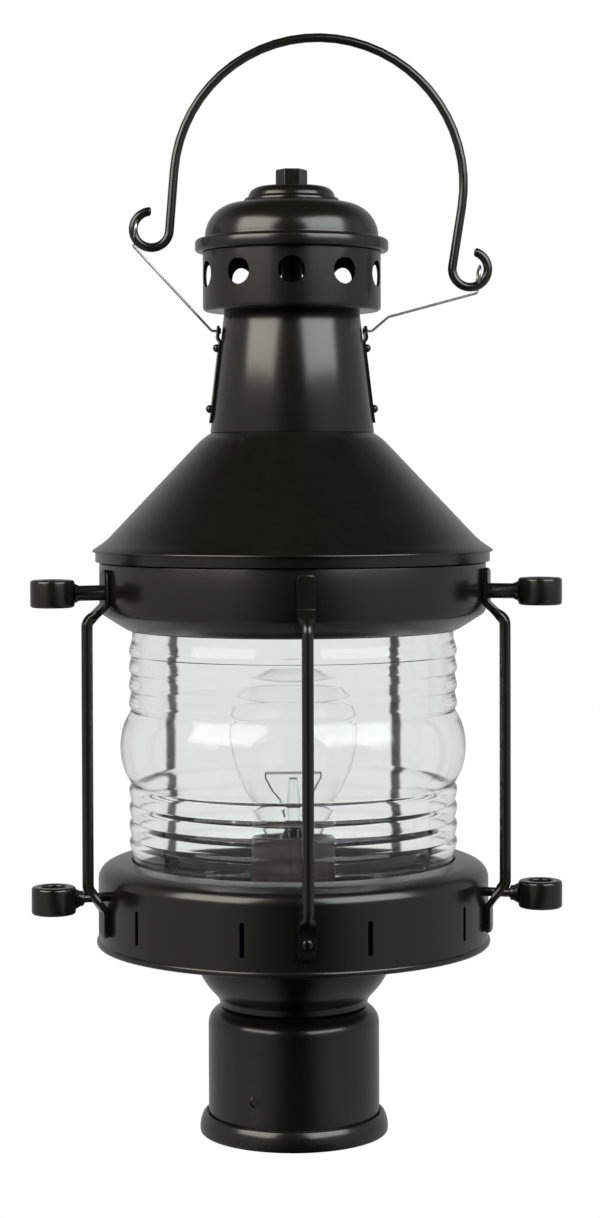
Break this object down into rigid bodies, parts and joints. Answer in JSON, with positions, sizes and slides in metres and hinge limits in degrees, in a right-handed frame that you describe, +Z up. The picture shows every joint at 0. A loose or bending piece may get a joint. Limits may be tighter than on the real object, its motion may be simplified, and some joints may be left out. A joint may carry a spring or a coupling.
{
  "type": "ship lantern",
  "caption": "Black post-top ship lantern: ribbed lens glass behind guard bars, conical roof with vented chimney cap, lashing eyes, wire-hung bail and a cup fitter for a post.",
  "frame": {"origin": "on the axis of the post bore, level with the fitter's bottom hem", "axes": "+Z up along the lantern's axis; the front guard bar is on the -Y side and the bail's arch lies along X"},
  "size_m": [0.2418, 0.1964, 0.5132],
  "materials": {
    "black_enamel": "semi-gloss black powder coat",
    "plated_steel": "zinc plated, satin",
    "blackened_steel": "blackened, satin",
    "gasket_rubber": "matte",
    "lens_glass": "clear pressed glass with rings",
    "bulb_glass": "thin clear glass",
    "stem_glass": "clear glass",
    "link_wire": "bright drawn wire",
    "socket_moulding": "black moulding, semi-gloss",
    "brass": "plain",
    "base_shell": "plain rolled",
    "filament_wire": "plain"
  },
  "bodies": {
    "lantern": {"post_fitter": "black_enamel", "fitter_nipple": "plated_steel", "nipple_nuts": "plated_steel", "bowl_neck": "black_enamel", "base_pan": "black_enamel", "lower_gallery": "black_enamel", "glass_seat": "black_enamel", "lower_gasket": "gasket_rubber", "lens_glass": "lens_glass", "upper_sleeve": "gasket_rubber", "upper_band": "black_enamel", "crossbar": "plated_steel", "centre_rod": "blackened_steel", "rod_nuts": "plated_steel", "eye_nuts": "plated_steel", "foot_screws": "black_enamel", "foot_nuts": "plated_steel", "guard_bar_1": "black_enamel", "guard_bar_2": "black_enamel", "guard_bar_3": "black_enamel", "guard_bar_4": "black_enamel", "guard_bar_5": "black_enamel", "eye_bolt_lower_left": "black_enamel", "eye_bolt_lower_right": "black_enamel", "eye_bolt_upper_left": "black_enamel", "eye_bolt_upper_right": "black_enamel", "lamp_socket": "socket_moulding", "socket_contact": "brass", "socket_shell": "brass", "bulb_base": "base_shell", "bulb_glass": "bulb_glass", "bulb_stem": "stem_glass", "bulb_filament": "filament_wire"},
    "roof": {"roof_cone": "black_enamel", "chimney": "black_enamel", "bail_strap_left": "black_enamel", "bail_strap_right": "black_enamel", "strap_rivets": "black_enamel", "vent_collar": "black_enamel", "vent_dome": "black_enamel", "top_disc": "black_enamel"},
    "finial": {"finial_nut": "black_enamel"},
    "left_link": {"wire_link_left": "link_wire"},
    "right_link": {"wire_link_right": "link_wire"},
    "bail": {"bail": "black_enamel"}
  },
  "joints": [
    {"name": "roof_lift", "type": "slide", "parent": "lantern", "child": "roof", "axis": [0, 0, 1], "range_m": [0, 0.19]},
    {"name": "finial_turn", "type": "hinge", "parent": "roof", "child": "finial", "pos_m": [0, 0, 0.4419], "axis": [0, 0, 1], "continuous": true},
    {"name": "left_link_swing", "type": "hinge", "parent": "roof", "child": "left_link", "pos_m": [0, 0, 0.3746], "axis": [1, 0, 0], "range_deg": [-60, 60]},
    {"name": "right_link_swing", "type": "hinge", "parent": "roof", "child": "right_link", "pos_m": [0, 0, 0.3746], "axis": [1, 0, 0], "range_deg": [-60, 60]},
    {"name": "bail_swing", "type": "hinge", "parent": "left_link", "child": "bail", "pos_m": [-0.07271, 0, 0.42176], "axis": [0.9916, 0, -0.1294], "range_deg": [-90, 90]}
  ],
  "couplings": [
    {"joint": "right_link_swing", "follows": "left_link_swing", "ratio": 1}
  ]
}
